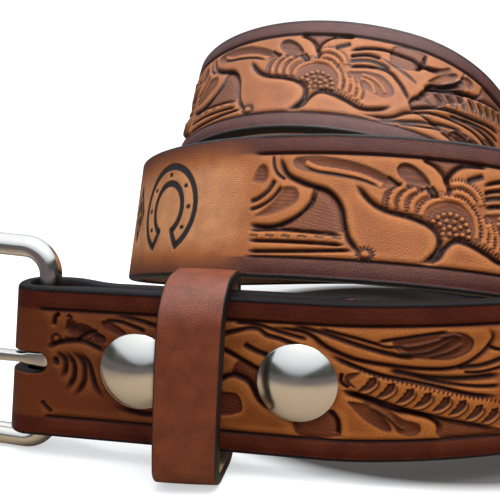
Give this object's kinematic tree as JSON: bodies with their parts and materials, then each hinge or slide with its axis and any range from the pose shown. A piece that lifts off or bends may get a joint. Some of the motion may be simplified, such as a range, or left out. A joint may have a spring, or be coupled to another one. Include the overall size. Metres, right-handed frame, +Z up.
{
  "type": "western tooled belt, coiled",
  "caption": "Tooled leather belt with a round-wire heel-bar buckle, a doubled end closed by two snaps and a leather keeper, coiled up and standing on its edge.",
  "frame": {"origin": "centre of the coiled belt in plan, at the height of its lowest point", "axes": "+X along the doubled buckle end, from the buckle towards the strap; +Y into the coil; +Z up"},
  "size_m": [0.2106, 0.182, 0.1074],
  "materials": {
    "tooled_leather": "tooled, antiqued and waxed",
    "keeper_leather": "plain dyed, satin",
    "nickel": "bright nickel plate"
  },
  "bodies": {
    "root": {"strap": "tooled_leather", "keeper": "keeper_leather", "snap_cap_1": "nickel", "snap_cap_2": "nickel", "snap_stud_1": "nickel", "snap_stud_2": "nickel"},
    "buckle": {"buckle_frame": "nickel"},
    "prong": {"prong": "nickel"}
  },
  "joints": [
    {"name": "buckle_swing", "type": "hinge", "parent": "root", "child": "buckle", "pos_m": [-0.05958, -0.0753, 0.02477], "axis": [0.0569, 0.0438, 0.9974], "range_deg": [-80, 15]},
    {"name": "prong_swing", "type": "hinge", "parent": "buckle", "child": "prong", "pos_m": [-0.05958, -0.0753, 0.02477], "axis": [0.0569, 0.0438, 0.9974], "range_deg": [0, 35]}
  ]
}
